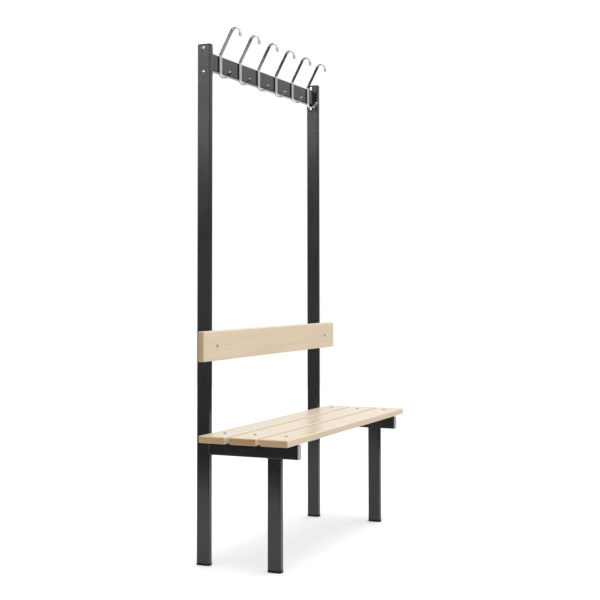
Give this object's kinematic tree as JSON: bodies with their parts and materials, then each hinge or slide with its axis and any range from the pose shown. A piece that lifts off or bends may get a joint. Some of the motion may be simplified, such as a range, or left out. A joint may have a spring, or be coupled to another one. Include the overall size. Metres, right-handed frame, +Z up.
{
  "type": "cloakroom bench",
  "caption": "Free-standing cloakroom bench with black tube end frames, a slatted pine seat, a pine backrest board and a top rail of bright double coat hooks.",
  "frame": {"origin": "on the floor, under the middle of the bench's outline", "axes": "X runs along the bench, -Y is the sitting side, Z is up"},
  "size_m": [1, 0.3566, 1.7149],
  "materials": {
    "frame_paint": "semi-gloss black powder coat",
    "pine": "planed, clear satin lacquer",
    "hook_chrome": "polished chrome plate",
    "fixing_steel": "bright zinc plate",
    "black_plastic": "moulded, matt",
    "grey_plastic": "moulded, matt"
  },
  "bodies": {
    "root": {"left_upright": "frame_paint", "left_seat_bearer": "frame_paint", "left_front_leg": "frame_paint", "left_rail_end_plate": "frame_paint", "left_back_foot": "black_plastic", "left_front_foot": "black_plastic", "left_upright_cap": "black_plastic", "left_bearer_cap": "grey_plastic", "right_upright": "frame_paint", "right_seat_bearer": "frame_paint", "right_front_leg": "frame_paint", "right_rail_end_plate": "frame_paint", "right_back_foot": "black_plastic", "right_front_foot": "black_plastic", "right_upright_cap": "black_plastic", "right_bearer_cap": "grey_plastic", "hook_rail": "frame_paint", "seat_slat_back": "pine", "seat_slat_middle": "pine", "seat_slat_front": "pine", "backrest_board": "pine", "hook_1": "hook_chrome", "hook_2": "hook_chrome", "hook_3": "hook_chrome", "hook_4": "hook_chrome", "hook_5": "hook_chrome", "hook_6": "hook_chrome", "hook_nuts": "fixing_steel", "rail_bolts": "fixing_steel", "rail_nuts": "fixing_steel", "seat_screws": "fixing_steel", "seat_inserts": "fixing_steel", "backrest_screws": "fixing_steel", "backrest_inserts": "fixing_steel"}
  },
  "joints": []
}
